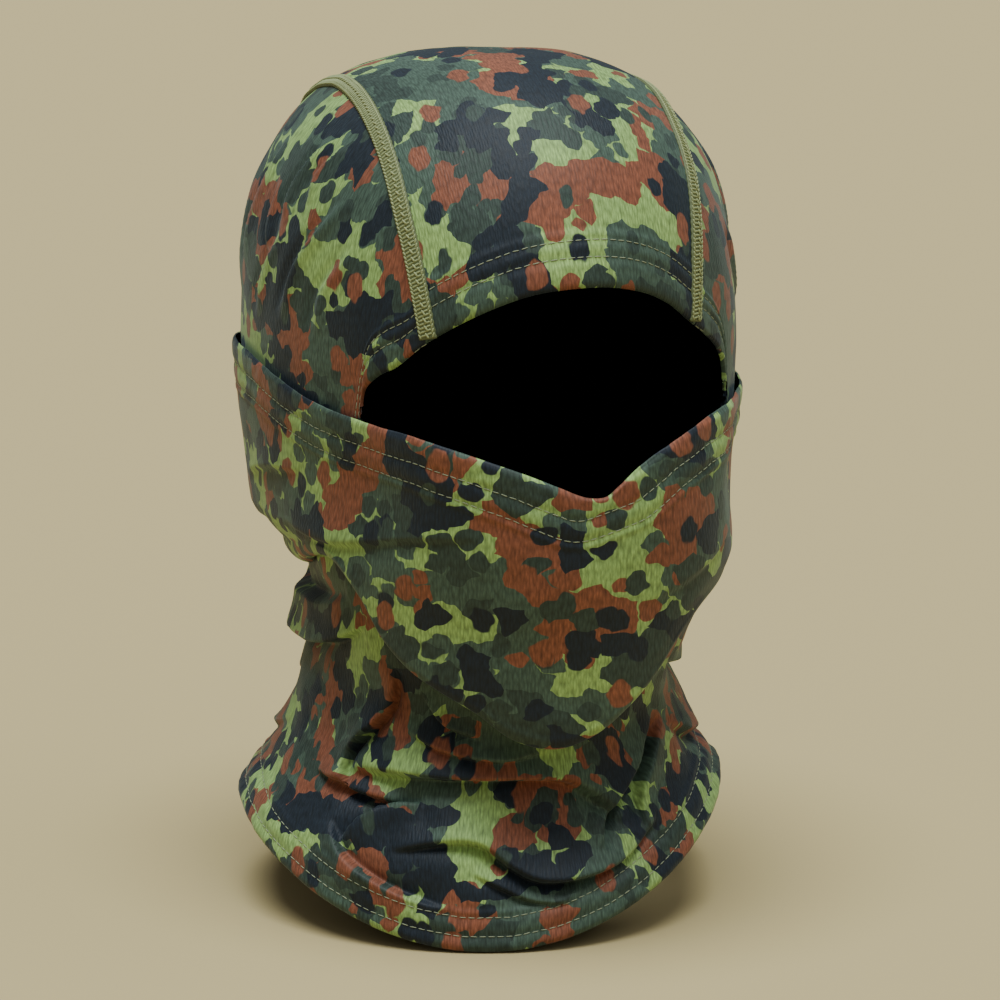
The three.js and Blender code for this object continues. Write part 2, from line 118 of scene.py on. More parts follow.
# Top edge of the gaiter: degrees, height. The V over the nose is steeper on the left.
GAITER_EDGE = [
    (-180, 178), (-135, 182), (-112, 184.3), (-98, 184),
    (-87, 182.6), (-74, 178.5), (-62, 173.8), (-52, 170.6),
    (-41, 168), (-33, 166.8), (-26, 164.2), (-19, 160.6),
    (-13, 156.9), (-7.5, 152.8), (-3.5, 149.6), (-1, 148.9),
    (0.6, 149.4), (2.2, 151.8), (5.5, 156.8), (10.5, 162.2),
    (17, 167), (23, 170.5), (31, 172.6), (42, 172.2),
    (60, 172.5), (80, 174), (110, 177), (145, 178.5),
    (180, 178),
]
GAITER_HEM = 16.5
GAITER_ROWS = (8, 14.5)

# The fold under the chin: degrees, height of its lip, how sharply it folds, lip radius
CHIN_FOLD = [
    (-180, 101, 0.15, 7), (-140, 105, 0.3, 7), (-125, 110, 0.8, 8),
    (-109, 111, 1, 7.5), (-90, 112.5, 1, 7.5), (-73, 118.5, 1, 5.5),
    (-57, 121.5, 1, 4), (-47.5, 111, 1, 3.5), (-42, 99, 1, 3.5),
    (-36, 90.5, 1, 4), (-29, 84.5, 1, 4), (-21, 78, 1, 4.5),
    (-14, 70, 1, 5), (-6, 67, 1, 5), (1.5, 71, 1, 5),
    (8, 79, 1, 5), (13, 87, 0.95, 5), (19, 98, 0.85, 6),
    (27, 105, 0.5, 7), (40, 108, 0.2, 7), (60, 112, 0.1, 7),
    (110, 109, 0.1, 7), (180, 101, 0.15, 7),
]
FOLD_GAP = 5
SHOULDER = (-8, 30, 72, 112)

# The gaiter draws in beside the jaw: degrees where that starts, is full and ends, upper and
# lower height, depth. The hood inside it draws in behind the deep fold on the wearer's right.
JAW_PULLS = [
    ((-150, -118, -76, -52), (131, 112), 10),
    ((46, 62, 104, 134), (138, 108), 2.6),
]
HOOD_TUCK = ((-168, -138, -52, -38), 113, 18, 12)

# Folds of the neck: a path of degrees and heights, how far its left bank stands out,
# how wide that bank is, how deep the right bank sinks, how far the left bank hangs over
NECK_FOLDS = [
    ([(-150, 91), (-118, 88), (-98, 87), (-80, 88), (-66, 92), (-55, 97)], 5.8, 8, 4.6, 2.6),
    ([(-62, 107), (-80, 103.5), (-98, 102.5), (-118, 102.5), (-150, 105)], 0.8, 10, 5, 0),
    ([(-54, 47), (-58, 51.5), (-58, 57), (-55, 62.5), (-50, 68), (-46, 75), (-44, 86)], 5, 6, 4.6, 3.4),
    ([(-58, 52), (-47, 52.5), (-25, 53), (-1, 52), (7, 46), (15, 36)], 5.6, 10, 4.6, 3.4),
    ([(8, 30), (10, 38), (16, 46), (23, 55), (30, 66)], 2.6, 5, 5.6, 1.2),
    ([(33, 66), (26, 54), (21, 44), (19, 34)], 3.6, 6.5, 3.4, 1.6),
    ([(-68, 49), (-52, 46.5), (-40, 44)], 3.8, 5, 4, 2.8),
    ([(-35, 45.5), (-42, 43.5), (-48, 39.5), (-54, 32)], 3.8, 5, 4, 2.4),
    ([(-28, 14), (-38, 18), (-46, 23), (-52, 28), (-57, 37)], 3, 6, 3.2, 1.4),
    (
        [(-40, 30), (-28, 33.5), (-20, 33), (-14, 27), (-7, 22), (4, 22.5), (13, 26), (24, 36)],
        4.2, 7, 4, 2.8,
    ),
    ([(-22, 24), (-16, 20), (-9, 15.5), (0, 14)], 1.8, 4, 2, 1),
    ([(38, 62), (52, 56), (68, 54), (90, 57)], 2.6, 8, 4.6, 1.6),
    ([(34, 84), (50, 80), (70, 78), (98, 82)], 2.2, 9, 4.2, 1.4),
    ([(-40, 66), (-30, 62), (-16, 60), (-4, 62)], 2.2, 5, 2.4, 1.2),
    ([(-36, 78), (-30, 70), (-20, 66)], 1.8, 4, 1.8, 1),
    ([(104, 70), (130, 62), (160, 60), (178, 63)], 3, 9, 2.4, 1.8),
    ([(-176, 72), (-158, 66), (-136, 66), (-112, 72)], 3, 9, 2.4, 1.8),
    ([(120, 92), (150, 86), (176, 88)], 2.6, 9, 2, 1.6),
    ([(-172, 46), (-150, 44), (-120, 50), (-96, 58)], 2.2, 8, 1.8, 1.2),
]
MASK_FOLDS = [
    ([(-76, 130), (-62, 127), (-52, 127.5), (-42, 130), (-33, 133), (-20, 135)], 1.5, 8, 0.9, 0.7),
    ([(-104, 140), (-84, 146), (-66, 148)], 1.3, 8, 0.8, 0.5),
    ([(8, 112), (18, 118), (32, 128), (46, 142)], 0.9, 10, 0.6, 0.2),
    ([(58, 120), (70, 128), (84, 142)], 1.2, 9, 0.8, 0.4),
    ([(96, 128), (118, 122), (146, 124), (170, 130)], 2.2, 10, 1.4, 1),
    ([(-170, 136), (-146, 128), (-118, 124), (-96, 126)], 2, 10, 1.4, 1),
    ([(110, 158), (140, 150), (172, 154)], 1.6, 10, 1, 0.6),
    ([(-174, 164), (-150, 154), (-122, 156)], 1.6, 10, 1, 0.6),
]

# Slanting creases of the hood: angle and height of the upper end and of the lower end,
# half width in degrees, height
HOOD_CREASES = [
    ((-70, 251), (-78, 229), 2.6, 1.5),
    ((-57, 232), (-72, 203), 2.6, 1.7),
    ((-86, 236), (-84, 216), 2.4, 1.2),
    ((-62, 250), (-67, 236), 2.4, 1.1),
    ((-79, 222), (-87, 200), 2.8, 1.3),
    ((-96, 246), (-102, 214), 3.4, 1.5),
    ((-52, 218), (-60, 197), 2.4, 1.1),
    ((-112, 240), (-108, 206), 4, 1.3),
    ((53, 222), (64, 200), 2.6, 1.2),
    ((66, 246), (76, 214), 3.2, 1.5),
    ((88, 240), (92, 206), 3.6, 1.4),
    ((112, 244), (108, 208), 4.2, 1.4),
    ((138, 246), (132, 214), 4.4, 1.3),
    ((-136, 246), (-130, 210), 4.4, 1.3),
]

# Bottom hem: its sides rest higher, and it is turned on the wearer
HEM_TURN = -19
HEM_RISE = 37
HEM_LEAN = 4
NECK_HEM = 12.5
NECK_ROWS = (4.6, 10.6)

# The cloth as cut, before it is stretched over a head: width, length, and its area in square
# millimetres where it isn't a rectangle
CUTS = {
    "hood_centre_cloth": ((88, 365), None, "stretched"),
    "hood_right_cloth": ((165, 175), 24000, "stretched"),
    "hood_left_cloth": ((165, 175), 24000, "stretched"),
    "gaiter_cloth": ((500, 220), 92000, "gathered"),
    "hood_join_band": ((400, 14), None, "stretched"),
}

# Stitches of the hems: spacing, length, and half the thread's thickness
STITCH_PITCH = 2.8
STITCH_LENGTH = 2.3
THREAD = 0.16

# Threads of the flatlock seams: distance of the two chains from the middle, and the spacing of
# the ladder's rungs, of the chains' links and of the stitches on top, and half the thread's width
# and height
CHAIN_OFFSET = 2.25
LADDER_PITCH = 1.25
CHAIN_PITCH = 1.45
TOP_PITCH = 2.5
LADDER_THREAD = (0.34, 0.3)

# Joint down the back of the gaiter, where its tube of cloth is sewn: depth, and half width in degrees
BACK_SEAM = (0.55, 0.75)

# Band that joins hood and neck: top, bottom, how far inside the hood it lies, thickness
JOIN_BAND = (109, 95, 1.4, 0.9)

# Grids of points: hood panels, tape, join band, and the gaiter's wall, its turn under the chin
# and its fall down the neck, with the rows of the wall and of the fall
CROWN_ROWS = 330
CROWN_COLUMNS = 121
SIDE_FACE_ROWS = 210
SIDE_NAPE_ROWS = 80
SIDE_COLUMNS = 91
TAPE_ROWS = 500
TAPE_COLUMNS = 15
JOIN_ROWS = 12
JOIN_COLUMNS = 240
GAITER_COLUMNS = 640
WALL_ROWS = 128
TURN_ROWS = 39
FALL_ROWS = 131
WALL = slice(0, WALL_ROWS)
FALL = slice(WALL_ROWS + TURN_ROWS, None)

# A distance from a hem's edge at which the cloth is single
FAR_FROM_HEM = 60.0

# Millimetres to a degree round the mask, the neck and the bottom hem
MASK_DEGREE = 1.75
NECK_DEGREE = 1.28
HEM_DEGREE = 1.45

# ---------- colours ----------

LIGHT_GREEN = (0.212, 0.335, 0.106, 1)
GREY_GREEN = (0.044, 0.075, 0.056, 1)
DARK_GREEN = (0.025, 0.042, 0.034, 1)
RUST = (0.175, 0.058, 0.031, 1)
NIGHT = (0.0068, 0.0122, 0.0205, 1)

# Prints over the ground colour: ink, spot spacing, patch size, coverage level, offset
PRINTS = [
    (GREY_GREEN, 6.4, 27, 0.452, (13, 41, 0)),
    (RUST, 6.2, 28, 0.548, (71, 7, 0)),
    (DARK_GREEN, 6.6, 20, 0.565, (37, 93, 0)),
    (NIGHT, 7.0, 22, 0.562, (5, 59, 0)),
]
# Single oval spots: ink, spacing, offset
SPECKS = [
    (NIGHT, 26, (211, 17, 0)),
    (DARK_GREEN, 23, (97, 161, 0)),
    (RUST, 29, (151, 83, 0)),
]

# Painted shade, near black, for the unlit inside of the cloth; the colours of its tape and threads, and
# the floor
INSIDE_PAINTED_SHADES = ((0.0016, 0.0017, 0.0018, 1), (0.0028, 0.003, 0.003, 1))
TAPE_OLIVE = (0.10, 0.122, 0.052)
FLATLOCK_OLIVE = (0.25, 0.285, 0.135)
HEM_OLIVE = (0.24, 0.27, 0.18)
FLOOR_TAN = (0.445, 0.358, 0.182, 1)

# ---------- view and light ----------

# The camera: degrees from the front and up, metres away, height and sideways shift of its target
VIEW_AZIMUTH = -19
VIEW_ELEVATION = 10
VIEW_DISTANCE = 1.3
TARGET_HEIGHT = 0.1298
TARGET_ASIDE = 0.0043
LENS = 140.4

# Very large, far softboxes: azimuth, elevation, how wide they look, strength, colour
SOFTBOXES = {
    "key_softbox": (-26, 78, 40, 4.6, (0.93, 0.99, 1)),
    "front_softbox": (-8, 34, 50, 0.36, (0.95, 0.99, 1)),
    "right_softbox": (58, 52, 40, 0.36, (0.95, 0.99, 1)),
}
SKY_COLOUR = (0.93, 0.93, 0.9, 1)
SKY_STRENGTH = 0.22


# ---------- camera, light and floor ----------

def direction(azimuth, elevation):
    """Unit vector towards a place round the object, 0 degrees being its front."""
    azimuth, elevation = math.radians(azimuth), math.radians(elevation)
    level = math.cos(elevation)
    return Vector((math.sin(azimuth) * level, -math.cos(azimuth) * level, math.sin(elevation)))


def add_turned(name, data, location, back):
    """An object that looks or shines against the direction it is turned to."""
    thing = bpy.data.objects.new(name, data)
    thing.location = location
    thing.rotation_euler = back.to_track_quat("Z", "Y").to_euler()
    bpy.context.scene.collection.objects.link(thing)
    return thing


def place_camera():
    lens = bpy.data.cameras.new("camera")
    lens.lens = LENS
    lens.sensor_width = 36
    lens.clip_end = 300
    back = direction(VIEW_AZIMUTH, VIEW_ELEVATION)
    target = Vector((0, 0, TARGET_HEIGHT)) + direction(VIEW_AZIMUTH + 90, 0) * TARGET_ASIDE
    bpy.context.scene.camera = add_turned("camera", lens, target + back * VIEW_DISTANCE, back)


def place_studio():
    for name, (azimuth, elevation, spread, strength, colour) in SOFTBOXES.items():
        light = bpy.data.lights.new(name, "SUN")
        light.angle = math.radians(spread)
        light.energy = strength
        light.color = colour
        away = direction(azimuth, elevation)
        add_turned(name, light, away * 3, away)
    world = bpy.data.worlds.new("studio")
    world.use_nodes = True
    sky = world.node_tree.nodes["Background"]
    sky.inputs["Color"].default_value = SKY_COLOUR
    sky.inputs["Strength"].default_value = SKY_STRENGTH
    bpy.context.scene.world = world


def place_floor():
    paint = {"Base Color": FLOOR_TAN, "Roughness": 1, "Specular IOR Level": 0}
    bpy.ops.mesh.primitive_circle_add(vertices=128, radius=90, fill_type="NGON", location=(0, 0, -0.0006))
    floor = bpy.context.object
    floor.name = "floor"
    floor.data.materials.append(Nodes("floor_paint").finish(paint))


# ---------- curves and forms ----------

def smooth_at(rows, at):
    """Values on a smooth curve through rows of (position, value, value...)."""
    rows = np.asarray(rows, float)
    keys, values = rows[:, 0], rows[:, 1:]
    place = np.clip(at, keys[0], keys[-1])
    i = np.clip(np.searchsorted(keys, place, side="right") - 1, 0, len(keys) - 2)
    slopes = np.empty_like(values)
    slopes[1:-1] = (values[2:] - values[:-2]) / (keys[2:] - keys[:-2])[:, None]
    slopes[0] = (values[1] - values[0]) / (keys[1] - keys[0])
    slopes[-1] = (values[-1] - values[-2]) / (keys[-1] - keys[-2])
    span = (keys[i + 1] - keys[i])[..., None]
    t = (place - keys[i])[..., None] / span
    start, end = values[i], values[i + 1]
    leave, arrive = slopes[i] * span, slopes[i + 1] * span
    cubic = 2 * start - 2 * end + leave + arrive
    square = 3 * end - 3 * start - 2 * leave - arrive
    return ((cubic * t + square) * t + leave) * t + start


def unit(vectors):
    return vectors / np.maximum(np.linalg.norm(vectors, axis=-1, keepdims=True), 1e-9)


def row_lengths(points, axis=0):
    """Distance run along an axis of a grid or a line of points."""
    steps = np.linalg.norm(np.diff(points, axis=axis), axis=-1)
    zero = np.zeros_like(np.take(steps, [0], axis=axis))
    return np.cumsum(np.concatenate([zero, steps], axis), axis)


def between_rows(at, keys, rows):
    """Rows of values, read at positions between their keys."""
    return np.stack([np.interp(at, keys, column) for column in rows.T], -1)


def smooth_line(points, count):
    """Evenly spaced points on a smooth curve through a few points."""
    points = np.asarray(points, float)
    keys = row_lengths(points)
    dense = smooth_at(np.c_[keys, points], np.linspace(0, keys[-1], 40 * len(points)))
    length = row_lengths(dense)
    return between_rows(np.linspace(0, length[-1], count), length, dense)


def step_between(low, high, at):
    t = np.clip((at - low) / (high - low), 0, 1)
    return t * t * (3 - 2 * t)


def plan_radius(form, theta, z):
    half, front, back = np.moveaxis(smooth_at(form, z), -1, 0)
    depth = np.where(np.cos(theta) > 0, front, back)
    side = (np.abs(np.sin(theta)) / half) ** PLAN_POWER
    ahead = (np.abs(np.cos(theta)) / depth) ** PLAN_POWER
    return (side + ahead) ** (-1 / PLAN_POWER)


def window(at, corners):
    """Rises from 0 to 1 between the first two corners and falls between the last two."""
    return step_between(corners[0], corners[1], at) * step_between(corners[3], corners[2], at)


def hood_radius(theta, z):
    corners, height, reach, depth = HOOD_TUCK
    tuck = depth * window(np.degrees(theta), corners) * np.exp(-((z - height) / reach) ** 2)
    return plan_radius(HOOD_FORM, theta, z) - tuck


def gaiter_radius(theta, z):
    radius = plan_radius(GAITER_FORM, theta, z) + GAITER_LIFT
    for corners, (high, low), depth in JAW_PULLS:
        radius = radius - depth * window(np.degrees(theta), corners) * step_between(high, low, z)
    return radius


def around(radius, theta, z):
    return np.stack([radius * np.sin(theta), -radius * np.cos(theta), z + 0 * theta], -1)


def hood_point(theta, rise):
    """Hood surface: a dome above the crown base, walls that fall straight below it."""
    rise = np.asarray(rise, float)
    z = CROWN_BASE + np.minimum(rise, 0) * WALL_SCALE
    wall = around(hood_radius(theta, z), theta, z)
    up = np.maximum(rise, 0)
    radius = plan_radius(HOOD_FORM, theta, np.full_like(up, CROWN_BASE))
    level = (np.cos(up) / radius) ** CROWN_POWER
    height = (np.sin(up) / CROWN_RISE) ** CROWN_POWER
    reach = (level + height) ** (-1 / CROWN_POWER)
    dome = around(reach * np.cos(up), theta, CROWN_BASE + reach * np.sin(up))
    return np.where((rise < 0)[..., None], wall, dome)


def bisect(low, high, is_low, rounds=28):
    """Halves the gap between two arrays of guesses towards where is_low turns false."""
    for _ in range(rounds):
        middle = (low + high) / 2
        below = is_low(middle)
        low = np.where(below, middle, low)
        high = np.where(below, high, middle)
    return low


def rise_at_height(theta, z):
    level, straight_up = np.zeros_like(z), np.full_like(z, math.pi / 2)
    up = bisect(level, straight_up, lambda rise: hood_point(theta, rise)[..., 2] < z)
    return np.where(z < CROWN_BASE, (z - CROWN_BASE) / WALL_SCALE, up)


def hood_place(point):
    level = np.hypot(point[..., 0], point[..., 1])
    theta = np.arctan2(point[..., 0], -point[..., 1])
    up = point[..., 2] - CROWN_BASE
    return theta, np.where(up < 0, up / WALL_SCALE, np.arctan2(up, level))


def pointing(normals, way):
    """Normals, turned round if they point against a way."""
    return normals if (normals * way).sum() > 0 else -normals


def grid_normals(points, ring=False):
    """Normals of a grid of points, rows first. A ring's last column is followed by its first."""
    down = np.gradient(points, axis=0)
    if ring:
        padded = np.concatenate([points[:, -1:], points, points[:, :1]], 1)
        across = np.gradient(padded, axis=1)[:, 1:-1]
    else:
        across = np.gradient(points, axis=1)
    return unit(np.cross(down, across))


def smooth_noise(points, size, seed):
    """Smooth noise of about -1 to 1 at points, with features of a given size."""
    random = np.random.default_rng(seed)
    table = random.permutation(256)
    slopes = unit(random.normal(size=(256, 3)))
    cell = np.asarray(points, float) / size
    corner = np.floor(cell).astype(int)
    inside = cell - corner
    fade = inside ** 3 * (inside * (inside * 6 - 15) + 10)
    total = np.zeros(cell.shape[:-1])
    for steps in itertools.product((0, 1), repeat=3):
        index = 0
        weight = 1
        for axis, step in enumerate(steps):
            index = table[(index + corner[..., axis] + step) % 256]
            weight = weight * (fade[..., axis] if step else 1 - fade[..., axis])
        total += weight * (slopes[index] * (inside - steps)).sum(-1)
    return total * 1.6


# ---------- meshes ----------

def grid_quads(rows, columns, start, flip, ring):
    """Quads of a grid as point numbers, and the columns they touch without wrapping."""
    spans = columns if ring else columns - 1
    r, c = np.meshgrid(np.arange(rows - 1), np.arange(spans), indexing="ij")
    r, c = r.ravel(), c.ravel()
    corners = [(r, c), (r, c + 1), (r + 1, c + 1), (r + 1, c)]
    if flip:
        corners.reverse()
    points = np.stack([start + a * columns + b % columns for a, b in corners], 1)
    texture = np.stack([a * (columns + 1) + b for a, b in corners], 1)
    return points, texture


def mesh_object(name, points, quads, uv=None, uv_index=None, slots=None, materials=()):
    mesh = bpy.data.meshes.new(name)
    mesh.vertices.add(len(points))
    mesh.vertices.foreach_set("co", (points * MM).ravel())
    mesh.loops.add(quads.size)
    mesh.loops.foreach_set("vertex_index", quads.ravel())
    mesh.polygons.add(len(quads))
    mesh.polygons.foreach_set("loop_start", np.arange(0, quads.size, 4))
    mesh.polygons.foreach_set("use_smooth", np.ones(len(quads), bool))
    for material in materials:
        mesh.materials.append(material)
    if slots is not None:
        mesh.polygons.foreach_set("material_index", slots)
    mesh.update(calc_edges=True)
    if uv is not None:
        layer = mesh.uv_layers.new(name="cut")
        layer.data.foreach_set("uv", (uv[uv_index.ravel()] * MM).ravel())
    mesh.validate()
    piece = bpy.data.objects.new(name, mesh)
    bpy.context.scene.collection.objects.link(piece)
    return piece


def cloth_object(name, outer, inner, uv, materials, ring=False):
    """A closed sheet between two grids. The uv of a ring has one column more than they have."""
    rows, columns = outer.shape[:2]
    if not ring:
        uv = np.concatenate([uv, uv[:, -1:]], 1)
    points = np.concatenate([outer.reshape(-1, 3), inner.reshape(-1, 3)])
    behind = rows * columns
    front, front_uv = grid_quads(rows, columns, 0, True, ring)
    back, back_uv = grid_quads(rows, columns, behind, False, ring)
    quads, textures = [front, back], [front_uv, back_uv]
    spans = np.arange(columns if ring else columns - 1)
    following = (spans + 1) % columns
    last = (rows - 1) * columns
    wide = columns + 1
    low = (rows - 1) * wide + spans
    rims = [(spans, following, spans, spans + 1), (last + following, last + spans, low + 1, low)]
    if not ring:
        end = columns - 1
        r = np.arange(rows - 1) * columns
        t = np.arange(rows - 1) * wide
        rims.append((r + columns, r, t + wide, t))
        rims.append((r + end, r + end + columns, t + end, t + end + wide))
    for start, stop, start_uv, stop_uv in rims:
        quads.append(np.stack([start, stop, behind + stop, behind + start], 1))
        textures.append(np.stack([start_uv, stop_uv, stop_uv, start_uv], 1))
    slots = np.zeros(sum(len(q) for q in quads), int)
    slots[len(front):len(front) + len(back)] = 1
    return mesh_object(
        name, points, np.concatenate(quads), uv.reshape(-1, 2), np.concatenate(textures), slots, materials
    )


def capsules(name, centres, along, out, lengths, width, height, material):
    """Many short rounded threads as one mesh, each lying along a direction."""
    rings, sides = 7, 8
    t = np.linspace(-1, 1, rings)
    swell = np.sqrt(np.maximum(1 - t ** 4, 0.02))
    turn = np.arange(sides) * 2 * math.pi / sides
    along = unit(along)
    across = unit(np.cross(out, along))
    up = np.cross(along, across)
    axis = along[:, None, None] * (t[:, None] * 0.5)[None, :, :, None] * lengths[:, None, None, None]
    side = across[:, None, None] * (swell[:, None] * np.cos(turn))[None, :, :, None] * width
    rise = up[:, None, None] * (swell[:, None] * np.sin(turn))[None, :, :, None] * height
    points = (centres[:, None, None] + axis + side + rise).reshape(-1, 3)
    per = rings * sides
    r, s = np.meshgrid(np.arange(rings - 1), np.arange(sides), indexing="ij")
    r, s = r.ravel(), s.ravel()
    wall = np.stack([r * sides + s, r * sides + (s + 1) % sides,
                     (r + 1) * sides + (s + 1) % sides, (r + 1) * sides + s], 1)
    first = np.array([[0, 3, 2, 1], [0, 5, 4, 3], [0, 7, 6, 5]])
    last = np.array([[0, 1, 2, 3], [0, 3, 4, 5], [0, 5, 6, 7]]) + (rings - 1) * sides
    one = np.concatenate([wall, first, last])
    quads = (one[None] + (np.arange(len(centres)) * per)[:, None, None]).reshape(-1, 4)
    return mesh_object(name, points, quads, materials=[material])


# ---------- materials ----------

class Nodes:
    """A new material, with short calls for adding and linking its nodes."""

    def __init__(self, name):
        self.material = bpy.data.materials.new(name)
        self.material.use_nodes = True
        self.tree = self.material.node_tree
        self.shader = self.tree.nodes["Principled BSDF"]

    def put(self, target, value):
        if isinstance(value, bpy.types.NodeSocket):
            self.tree.links.new(value, target)
        else:
            target.default_value = value

    def add(self, kind, inputs=(), **settings):
        """A new node, with its settings and the values of its named or numbered inputs."""
        node = self.tree.nodes.new(kind)
        for key, value in settings.items():
            setattr(node, key, value)
        for key, value in dict(inputs).items():
            self.put(node.inputs[key], value)
        return node

    def finish(self, inputs):
        """Sets or links the shader's inputs, and gives the material."""
        for name, value in inputs.items():
            self.put(self.shader.inputs[name], value)
        return self.material

    def math(self, operation, *values):
        return self.add("ShaderNodeMath", enumerate(values), operation=operation).outputs[0]

    def vector_math(self, operation, *values):
        return self.add("ShaderNodeVectorMath", enumerate(values), operation=operation).outputs[0]

    def spread(self, value, low, high):
        """Turns low..high into 0..1, softly."""
        inputs = {"Value": value, "From Min": low, "From Max": high}
        return self.add("ShaderNodeMapRange", inputs, interpolation_type="SMOOTHSTEP").outputs["Result"]

    def mix(self, share, first, second, blend="MIX"):
        inputs = {"Factor": share, 6: first, 7: second}
        return self.add("ShaderNodeMix", inputs, data_type="RGBA", blend_type=blend).outputs[2]

    def mapped(self, vector, scale, shift):
        inputs = {"Vector": vector, "Scale": scale, "Location": shift}
        return self.add("ShaderNodeMapping", inputs).outputs["Vector"]

    def cut_vector(self, scale, shift=(0, 0, 0)):
        """The cloth's own flat coordinates in millimetres, scaled and shifted."""
        flat = self.add("ShaderNodeUVMap", uv_map="cut").outputs["UV"]
        return self.mapped(flat, (scale[0] * 1000, scale[1] * 1000, 1), shift)

    def noise(self, vector, scale, detail, roughness=0.5):
        inputs = {"Vector": vector, "Scale": scale, "Detail": detail, "Roughness": roughness}
        return self.add("ShaderNodeTexNoise", inputs, noise_dimensions="2D").outputs

    def cells(self, vector, scale, randomness=1):
        inputs = {"Vector": vector, "Scale": scale, "Randomness": randomness}
        return self.add("ShaderNodeTexVoronoi", inputs, voronoi_dimensions="2D").outputs

    def bump(self, height, strength, distance):
        inputs = {"Height": height, "Strength": strength, "Distance": distance}
        return self.add("ShaderNodeBump", inputs).outputs["Normal"]


def patch_mask(nodes, vector, spot, cluster, level):
    """Round spots that are larger in the middle of a patch, so they merge into lobed shapes."""
    cell = nodes.cells(vector, 1 / spot, 0.9)
    patch = nodes.noise(cell["Position"], 1 / cluster, 1)[0]
    radius = nodes.math("MULTIPLY", nodes.math("SUBTRACT", patch, level), 9)
    shown = nodes.math("GREATER_THAN", radius, 0.12)
    radius = nodes.math("MINIMUM", nodes.math("ADD", radius, 0.24), 0.95)
    edge = nodes.math("SUBTRACT", radius, cell["Distance"])
    return nodes.math("MULTIPLY", nodes.spread(edge, -0.03, 0.03), shown)


def camouflage_colour(nodes, shift):
    """Spotted woodland camouflage: four darker prints laid over a light green ground."""
    flat = nodes.cut_vector((1, 1), shift)
    wobble = nodes.noise(flat, 1 / 4, 0.6)[1]
    bent = nodes.vector_math("MULTIPLY_ADD", wobble, (2.7, 2.7, 0), flat)
    colour = LIGHT_GREEN
    for ink, spot, cluster, level, move in PRINTS:
        moved = nodes.vector_math("ADD", bent, move)
        colour = nodes.mix(patch_mask(nodes, moved, spot, cluster, level), colour, ink)
    for ink, gap, move in SPECKS:
        dot = nodes.cells(nodes.mapped(bent, (1, 0.7, 1), move), 1 / gap)["Distance"]
        colour = nodes.mix(nodes.spread(dot, 0.125, 0.105), colour, ink)
    return colour


def cloth_material(name, shift):
    """Knitted jersey: printed camouflage, fine upright ribs of stitches with painted light and shade on
    them, a soft sheen.
    """
    nodes = Nodes(name)
    colour = camouflage_colour(nodes, shift)
    rib = nodes.cells(nodes.cut_vector((1 / 0.8, 1 / 3.4)), 1, 0.8)["Distance"]
    fibre = nodes.noise(nodes.cut_vector((1.7, 0.3)), 1, 2.5, 0.65)[0]
    fade = nodes.noise(nodes.cut_vector((1, 1)), 1 / 38, 2)[0]
    # Painted light and shade of the knit: lighter on the raised stitches, darker in the grooves between
    # them; fibre streaks and broad patches vary its tone
    light = nodes.math("MULTIPLY_ADD", rib, -0.75, 1.32)
    light = nodes.math("MULTIPLY", light, nodes.math("MULTIPLY_ADD", fibre, 1.25, 0.38))
    light = nodes.math("MULTIPLY", light, nodes.math("MULTIPLY_ADD", fade, 0.4, 0.82))
    shade = nodes.add("ShaderNodeCombineColor", {0: light, 1: light, 2: light}).outputs[0]
    height = nodes.math("MULTIPLY_ADD", rib, -1, nodes.math("MULTIPLY", fibre, 0.55))
    return nodes.finish({
        "Base Color": nodes.mix(1, colour, shade, "MULTIPLY"),
        "Normal": nodes.bump(height, 0.5, 0.00025),
        "Roughness": nodes.math("MULTIPLY_ADD", fibre, 0.16, 0.52),
        "Specular IOR Level": 0.27,
        "Sheen Weight": 0.09,
        "Sheen Roughness": 0.45,
        "Sheen Tint": (0.7, 0.92, 1, 1),
    })


def painted_shade_inside_material():
    """Painted shade for the inside of the cloth: near black, as if no light reaches it, with a faint
    weave.
    """
    nodes = Nodes("cloth_inside")
    weave = nodes.cells(nodes.cut_vector((1 / 1.2, 1 / 1.8)), 1, 0.7)["Distance"]
    dark = nodes.mix(weave, *INSIDE_PAINTED_SHADES)
    return nodes.finish({"Base Color": dark, "Roughness": 0.95, "Specular IOR Level": 0})


def thread_material(name, colour, contrast):
    """Twisted thread: fine slanting plies and a slight gloss."""
    nodes = Nodes(name)
    place = nodes.add("ShaderNodeTexCoord").outputs["Object"]
    ply = nodes.add("ShaderNodeTexNoise", {"Vector": place, "Scale": 2600, "Detail": 2}).outputs[0]
    dark = tuple(c * (1 - contrast) for c in colour) + (1,)
    bright = tuple(min(c * (1 + contrast), 1) for c in colour) + (1,)
    return nodes.finish({
        "Base Color": nodes.mix(ply, dark, bright),
        "Normal": nodes.bump(ply, 0.4, 0.0001),
        "Roughness": 0.6,
        "Specular IOR Level": 0.35,
    })


# ---------- hood ----------

OPENING = smooth_line([(math.radians(a) * OPENING_RADIUS, z) for a, z in OPENING_EDGE], 1201)
OPENING_HEADING = unit(np.gradient(OPENING, axis=0))


def beside_opening(along, distance):
    """Angle and rise of a place beside the opening edge: 0 right cheek, 1 left cheek."""
    steps = np.linspace(0, 1, len(OPENING))
    edge = between_rows(along, steps, OPENING)
    heading = between_rows(along, steps, OPENING_HEADING)
    theta = (edge[..., 0] - heading[..., 1] * distance) / OPENING_RADIUS
    z = np.maximum(edge[..., 1] + heading[..., 0] * distance, HOOD_BOTTOM)
    return theta, rise_at_height(theta, z)


def brow_along(x):
    """How far along the opening edge lies a distance from the middle plane."""
    low = np.full_like(x, 0.25)
    high = np.full_like(x, 0.75)
    return bisect(low, high, lambda m: hood_point(*beside_opening(m, 0 * m))[..., 0] < x, 22)


def crown_start(x):
    """Slope, seen from the side, at which a run over the crown leaves the brow."""
    brow = hood_point(*beside_opening(brow_along(x), 0 * x))
    return np.arctan2(brow[..., 2] - CROWN_BASE, -brow[..., 1])


